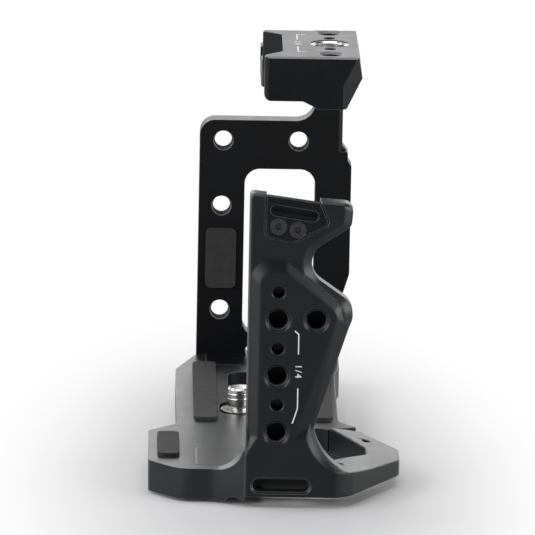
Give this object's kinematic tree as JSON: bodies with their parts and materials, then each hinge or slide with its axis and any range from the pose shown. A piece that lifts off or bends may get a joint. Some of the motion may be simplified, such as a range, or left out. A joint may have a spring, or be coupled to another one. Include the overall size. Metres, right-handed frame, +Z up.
{
  "type": "camera cage",
  "caption": "Black aluminium half cage for a mirrorless camera, with side arm, top block and strap slots.",
  "frame": {"origin": "mouth of the 3/8 inch tripod thread in the underside of the base plate", "axes": "+X from the grip side to the far side, +Y from the lens side to the rear, +Z up"},
  "size_m": [0.1428, 0.0637, 0.1047],
  "materials": {
    "anodised": "black anodised, bead blasted",
    "rubber": "matt black rubber",
    "stainless": "turned stainless steel",
    "black_steel": "black oxide steel",
    "magnet": "nickel plated magnets"
  },
  "bodies": {
    "cage": {"base_plate": "anodised", "grip_side_arm": "anodised", "far_side_wall": "anodised", "top_bridge": "anodised", "strap_loop_plate": "anodised", "strap_loop_screws": "black_steel", "arm_screws": "black_steel", "grip_bar_screw": "black_steel", "wall_screws": "black_steel", "bridge_screw": "black_steel", "top_thread_insert": "stainless", "tripod_thread_insert": "stainless", "front_seat_pad": "rubber", "rear_seat_pad": "rubber", "rear_lip_pad": "rubber", "arm_pad": "rubber", "wall_pad": "rubber", "block_pad": "rubber", "grip_side_foot": "rubber", "rear_foot": "rubber", "far_front_foot": "rubber", "far_rear_foot": "rubber", "key_magnets": "magnet"},
    "clip": {"screw_clip": "stainless"},
    "screw": {"camera_screw": "stainless"},
    "key": {"hex_key": "black_steel"}
  },
  "joints": [
    {"name": "camera_screw_drop", "type": "slide", "parent": "cage", "child": "clip", "axis": [0, 0, -1], "range_m": [0, 0.0022]},
    {"name": "camera_screw_turn", "type": "hinge", "parent": "clip", "child": "screw", "pos_m": [0, 0.0132, 0.005], "axis": [0, 0, 1], "continuous": true},
    {"name": "hex_key_drop", "type": "slide", "parent": "cage", "child": "key", "axis": [0, 0, -1], "range_m": [0, 0.012]}
  ]
}
